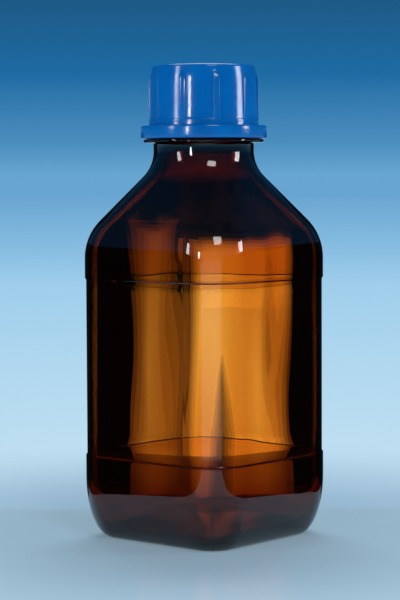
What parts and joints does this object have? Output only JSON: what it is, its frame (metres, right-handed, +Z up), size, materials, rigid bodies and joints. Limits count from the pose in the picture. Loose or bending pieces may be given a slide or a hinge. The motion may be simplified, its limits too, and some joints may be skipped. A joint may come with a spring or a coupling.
{
  "type": "reagent bottle",
  "caption": "Square amber glass laboratory bottle with a recessed label panel on each side, a round necked ring, and a blue ribbed screw cap with a faced liner.",
  "frame": {"origin": "centre of the bearing ring on the standing plane, under the axis of the neck", "axes": "+Z up along the axis of the neck and cap; +X and +Y square to two neighbouring label panels"},
  "size_m": [0.095, 0.095, 0.2304],
  "materials": {
    "amber_glass": "clear amber glass, smooth and glossy",
    "blue_plastic": "moulded polypropylene, glossy royal blue",
    "liner_backing": "soft white backing disc, matt",
    "liner_facing": "smooth white fluoropolymer film, satin"
  },
  "bodies": {
    "bottle": {"glass_bottle": "amber_glass"},
    "liner": {"liner_backing": "liner_backing", "liner_facing": "liner_facing"},
    "cap": {"screw_cap": "blue_plastic"}
  },
  "joints": [
    {"name": "cap_lift", "type": "slide", "parent": "bottle", "child": "liner", "axis": [0, 0, 1], "range_m": [0, 0.036]},
    {"name": "cap_turn", "type": "hinge", "parent": "liner", "child": "cap", "pos_m": [0, 0, 0.21], "axis": [0, 0, 1], "range_deg": [0, 3240]}
  ],
  "couplings": [
    {"joint": "cap_lift", "follows": "cap_turn", "m_per_rad": 0.0006366}
  ]
}
